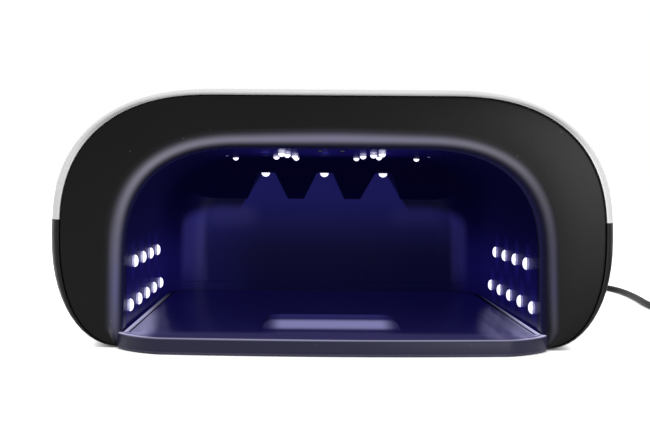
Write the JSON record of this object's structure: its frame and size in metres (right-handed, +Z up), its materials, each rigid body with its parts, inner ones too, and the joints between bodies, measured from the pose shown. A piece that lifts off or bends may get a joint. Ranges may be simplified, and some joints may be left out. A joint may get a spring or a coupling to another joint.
{
  "type": "led nail lamp",
  "caption": "Rounded table-top nail curing lamp with an open front, a reflector lined with LED beads, a pull-out hand tray, timer keys on top and a low-voltage lead.",
  "frame": {"origin": "on the table, at the middle of the lamp's own bounding box in plan, leaving out the lead and its adapter", "axes": "+X to the right of someone facing the mouth, +Y towards the back, +Z up"},
  "size_m": [0.3228, 0.2814, 0.1019],
  "materials": {
    "white_shell": "satin white injection moulding",
    "dark_base": "fine-grained black injection moulding",
    "bezel": "fine matte spark texture",
    "liner": "polished dark plastic that mirrors the beads",
    "tray": "satin black",
    "lamp_board": "white solder mask on an aluminium board, with clear bead lenses",
    "control_board": "green solder mask",
    "small_part": "black moulded component",
    "keycap": "satin grey",
    "window": "smoked, polished",
    "steel": "bright zinc plate",
    "magnet": "nickel plate",
    "rubber_foot": "matte",
    "lead_jacket": "satin flexible jacket",
    "adapter": "fine matte texture",
    "wire": "satin insulation"
  },
  "bodies": {
    "housing": {"top_shell": "white_shell", "base_housing": "dark_base", "front_bezel": "bezel", "reflector": "liner", "left_lamp_board": "lamp_board", "right_lamp_board": "lamp_board", "ceiling_lamp_board": "lamp_board", "rear_lamp_board": "lamp_board", "sensor_emitter": "window", "sensor_receiver": "window", "display_window": "window", "control_board": "control_board", "display_module": "small_part", "dc_jack": "small_part", "tact_switch_1": "small_part", "tact_switch_2": "small_part", "tact_switch_3": "small_part", "tact_switch_4": "small_part", "board_screw_1": "steel", "board_screw_2": "steel", "board_screw_3": "steel", "board_screw_4": "steel", "housing_screw_front_left": "steel", "housing_screw_front_right": "steel", "housing_screw_rear_left": "steel", "housing_screw_rear_right": "steel", "plug_barrel": "steel", "adapter_blade_left": "steel", "adapter_blade_right": "steel", "housing_magnet_left": "magnet", "housing_magnet_right": "magnet", "rear_foot_left": "rubber_foot", "rear_foot_right": "rubber_foot", "cheek_foot_left": "rubber_foot", "cheek_foot_right": "rubber_foot", "wire_power": "wire", "wire_ceiling": "wire", "wire_rear": "wire", "wire_left": "wire", "wire_right": "wire", "plug_boot": "lead_jacket", "cord_lead": "lead_jacket", "cord_coil": "lead_jacket", "adapter_boot": "lead_jacket", "adapter_case": "adapter"},
    "tray": {"tray_base": "tray", "tray_panel": "tray", "tray_magnet_left": "magnet", "tray_magnet_right": "magnet", "tray_foot_1": "rubber_foot", "tray_foot_2": "rubber_foot", "tray_foot_3": "rubber_foot", "tray_foot_4": "rubber_foot"},
    "key_1": {"keycap_1": "keycap"},
    "key_2": {"keycap_2": "keycap"},
    "key_3": {"keycap_3": "keycap"},
    "key_4": {"keycap_4": "keycap"}
  },
  "joints": [
    {"name": "tray_slide", "type": "slide", "parent": "housing", "child": "tray", "axis": [0, -1, 0], "range_m": [0, 0.17]},
    {"name": "key_1_press", "type": "slide", "parent": "housing", "child": "key_1", "axis": [0, 0, -1], "range_m": [0, 0.0005], "stiffness_N_per_m": 1500},
    {"name": "key_2_press", "type": "slide", "parent": "housing", "child": "key_2", "axis": [0, 0, -1], "range_m": [0, 0.0005], "stiffness_N_per_m": 1500},
    {"name": "key_3_press", "type": "slide", "parent": "housing", "child": "key_3", "axis": [0, 0, -1], "range_m": [0, 0.0005], "stiffness_N_per_m": 1500},
    {"name": "key_4_press", "type": "slide", "parent": "housing", "child": "key_4", "axis": [0, 0, -1], "range_m": [0, 0.0005], "stiffness_N_per_m": 1500}
  ]
}
